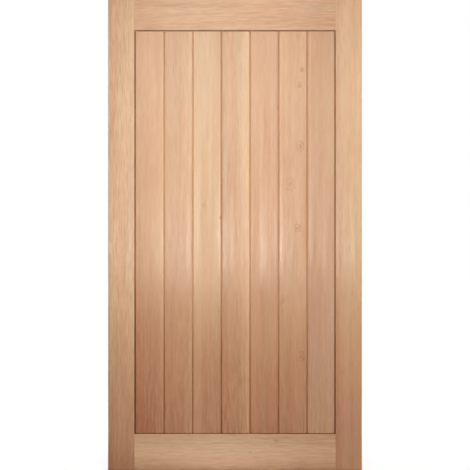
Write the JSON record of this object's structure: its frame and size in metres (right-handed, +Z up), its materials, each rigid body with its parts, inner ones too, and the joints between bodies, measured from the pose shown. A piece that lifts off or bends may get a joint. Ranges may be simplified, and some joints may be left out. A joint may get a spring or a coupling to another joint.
{
  "type": "entrance door leaf",
  "caption": "Timber entrance door leaf: stiles and rails tenoned and wedged together, filled on both faces with upright V-jointed tongue and groove boards",
  "frame": {"origin": "on the hinge edge at the foot of the leaf, in the middle of its thickness; the hinge_edge mount is 5 mm above it on the same face", "axes": "X across the leaf from the hinge edge to the lock edge, Y from the front face to the back face, Z up"},
  "size_m": [1.1, 0.044, 2.04],
  "materials": {
    "stile_timber": "satin",
    "rail_timber": "satin",
    "board_timber": "satin",
    "core_timber": "matte",
    "wedge_timber": "satin"
  },
  "bodies": {
    "root": {"back_board_1": "board_timber", "back_board_2": "board_timber", "back_board_3": "board_timber", "back_board_4": "board_timber", "back_board_5": "board_timber", "back_board_6": "board_timber", "back_board_7": "board_timber", "bottom_rail": "rail_timber", "core_panel": "core_timber", "front_board_1": "board_timber", "front_board_2": "board_timber", "front_board_3": "board_timber", "front_board_4": "board_timber", "front_board_5": "board_timber", "front_board_6": "board_timber", "front_board_7": "board_timber", "left_foot_wedge_lower": "wedge_timber", "left_foot_wedge_upper": "wedge_timber", "left_middle_wedge_lower": "wedge_timber", "left_middle_wedge_upper": "wedge_timber", "left_stile": "stile_timber", "left_top_wedge_lower": "wedge_timber", "left_top_wedge_upper": "wedge_timber", "right_foot_wedge_lower": "wedge_timber", "right_foot_wedge_upper": "wedge_timber", "right_middle_wedge_lower": "wedge_timber", "right_middle_wedge_upper": "wedge_timber", "right_stile": "stile_timber", "right_top_wedge_lower": "wedge_timber", "right_top_wedge_upper": "wedge_timber", "top_rail": "rail_timber"}
  },
  "joints": []
}
